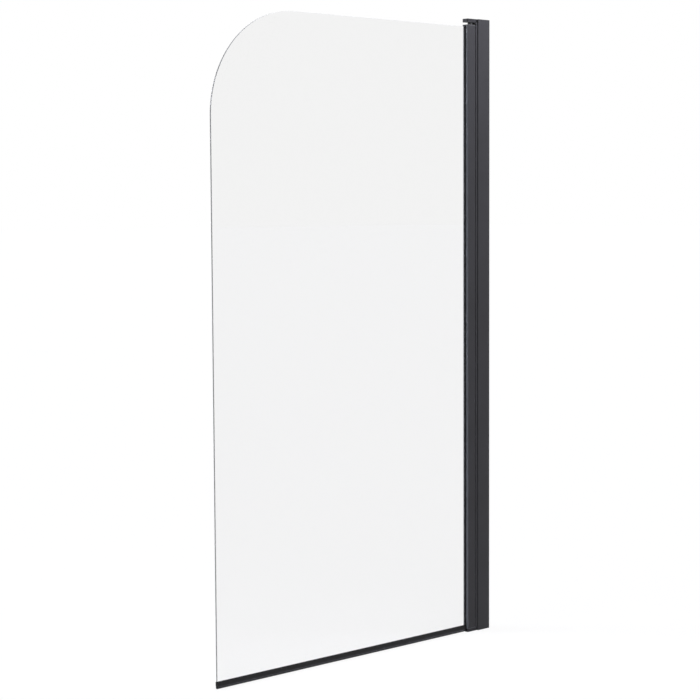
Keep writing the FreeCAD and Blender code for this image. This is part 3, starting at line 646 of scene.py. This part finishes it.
def buildFloor(look):
    # A level sheet under the rim. Rays from the camera, through the glass and off the
    # metal see it mostly as plain white.
    side = np.array([-1.0, 1.0]) * look["reach"]
    x, y = np.meshgrid(side, side)
    points = np.stack([x, y, np.zeros_like(x)], axis=-1).reshape(-1, 3)
    finish, tree, skin, where, out = newFinish("paleFloor")
    rays = addNode(tree, "ShaderNodeLightPath")
    straight = addMaths(tree, "ADD")
    straightOrMirrored = addMaths(tree, "ADD", use_clamp=True)
    share = addMaths(tree, "MULTIPLY", {1: look["glow"]})
    white = addNode(tree, "ShaderNodeEmission", {"Strength": look["white"]})
    blend = addNode(tree, "ShaderNodeMixShader")
    dustiness = {"Scale": look["dustScale"], "Low": look["roughLow"], "High": look["roughHigh"]}
    dust = addGroup(tree, cloudyTone, dustiness)
    join(tree, where, "Object", dust, "Vector")
    join(tree, dust, "Value", skin, "Roughness")
    skin.inputs["Base Color"].default_value = (*look["colour"], 1)
    skin.inputs["Specular IOR Level"].default_value = look["shine"]
    join(tree, rays, "Is Camera Ray", straight, 0)
    join(tree, rays, "Is Transmission Ray", straight, 1)
    join(tree, straight, 0, straightOrMirrored, 0)
    join(tree, rays, "Is Glossy Ray", straightOrMirrored, 1)
    join(tree, straightOrMirrored, 0, share, 0)
    join(tree, share, 0, blend, "Fac")
    join(tree, skin, "BSDF", blend, 1)
    join(tree, white, "Emission", blend, 2)
    join(tree, blend, "Shader", out, "Surface")
    return shapeMesh("pale_floor", points, [[0, 1, 3, 2]], [finish], smooth=[False])


buildFloor(floorLook)

skyLook = {
    "fill": 0.56,
    "domeStart": 0.10,
    "domeEnd": 0.35,
    "domeLevel": 1.6,
    "domeColour": (0.95, 0.96, 1.06),
}


def buildSky(look):
    # The camera and the glass see plain white, and other light from the sky is the fill.
    # Reflections see white low down and a brighter, cooler ceiling.
    sky = bpy.data.worlds.new("studioWhite")
    scene.world = sky
    sky.use_nodes = True
    tree = sky.node_tree
    tree.nodes.clear()
    out = addNode(tree, "ShaderNodeOutputWorld")
    rays = addNode(tree, "ShaderNodeLightPath")
    where = addNode(tree, "ShaderNodeTexCoord")
    parts = addNode(tree, "ShaderNodeSeparateXYZ")
    high = addRange(tree, look["domeStart"], look["domeEnd"])
    ceiling = addNode(tree, "ShaderNodeMapRange", {"To Min": 1.0, "To Max": look["domeLevel"]})
    straight = addMaths(tree, "ADD", use_clamp=True)
    seen = addNode(tree, "ShaderNodeMix", {"A": look["fill"], "B": 1.0}, data_type="FLOAT")
    level = addNode(tree, "ShaderNodeMix", data_type="FLOAT")
    cool = addMaths(tree, "MULTIPLY")
    colour = addColourMix(tree, (1, 1, 1), look["domeColour"])
    light = addNode(tree, "ShaderNodeBackground")
    join(tree, where, "Generated", parts, 0)
    join(tree, parts, "Z", high, "Value")
    join(tree, high, "Result", ceiling, "Value")
    join(tree, rays, "Is Camera Ray", straight, 0)
    join(tree, rays, "Is Transmission Ray", straight, 1)
    join(tree, straight, 0, seen, "Factor")
    join(tree, rays, "Is Glossy Ray", level, "Factor")
    join(tree, seen, "Result", level, "A")
    join(tree, ceiling, "Result", level, "B")
    join(tree, rays, "Is Glossy Ray", cool, 0)
    join(tree, high, "Result", cool, 1)
    join(tree, cool, 0, colour, "Factor")
    join(tree, colour, "Result", light, "Color")
    join(tree, level, "Result", light, "Strength")
    join(tree, light, "Background", out, "Surface")


buildSky(skyLook)

lampLooks = {
    "keySoft": {
        "energy": 0.4,
        "turn": (50.0, 0.0, -35.0),
        "spread": 40.0,
        "colour": (1.0, 1.0, 1.0),
    },
    "sideSoft": {
        "energy": 1.4,
        "turn": (70.0, 0.0, 43.0),
        "spread": 24.0,
        "colour": (0.95, 0.95, 1.12),
    },
    "rimSoft": {
        "energy": 1.4,
        "turn": (70.0, 0.0, 223.0),
        "spread": 24.0,
        "colour": (0.95, 0.97, 1.08),
    },
}


def placeLamp(name, look):
    lamp = bpy.data.lights.new(name, "SUN")
    lamp.energy = look["energy"]
    lamp.color = look["colour"]
    lamp.angle = np.radians(look["spread"])
    holder = bpy.data.objects.new(name, lamp)
    holder.rotation_euler = np.radians(look["turn"])
    scene.collection.objects.link(holder)


for name, look in lampLooks.items():
    placeLamp(name, look)
print("stage and lamps made")

cameraLook = {
    "place": (-3.0733, -2.87502, 0.98429),
    "azimuth": -42.6413,
    "elevation": 4.55171,
    "roll": -0.31327,
    "lens": 93.850,
    "sensor": 36.0,
    "nearest": 0.05,
    "farthest": 200.0,
}


def placeCamera(look):
    # Back from azimuth and elevation, right level with the floor, then both rolled.
    a, e, r = (np.radians(look[key]) for key in ("azimuth", "elevation", "roll"))
    back = np.array([np.sin(a) * np.cos(e), -np.cos(a) * np.cos(e), np.sin(e)])
    right = np.array([np.cos(a), np.sin(a), 0.0])
    up = np.cross(back, right)
    rolledRight = np.cos(r) * right + np.sin(r) * up
    rolledUp = -np.sin(r) * right + np.cos(r) * up
    lens = bpy.data.cameras.new("photoCamera")
    lens.lens = look["lens"]
    lens.sensor_width = look["sensor"]
    lens.sensor_fit = "HORIZONTAL"
    lens.clip_start, lens.clip_end = look["nearest"], look["farthest"]
    camera = bpy.data.objects.new("photoCamera", lens)
    stand = np.eye(4)
    stand[:3] = np.stack([rolledRight, rolledUp, back, look["place"]], axis=1)
    camera.matrix_world = Matrix(stand.tolist())
    scene.collection.objects.link(camera)
    scene.camera = camera


placeCamera(cameraLook)
scene.view_settings.view_transform = "Standard"
print("camera placed")
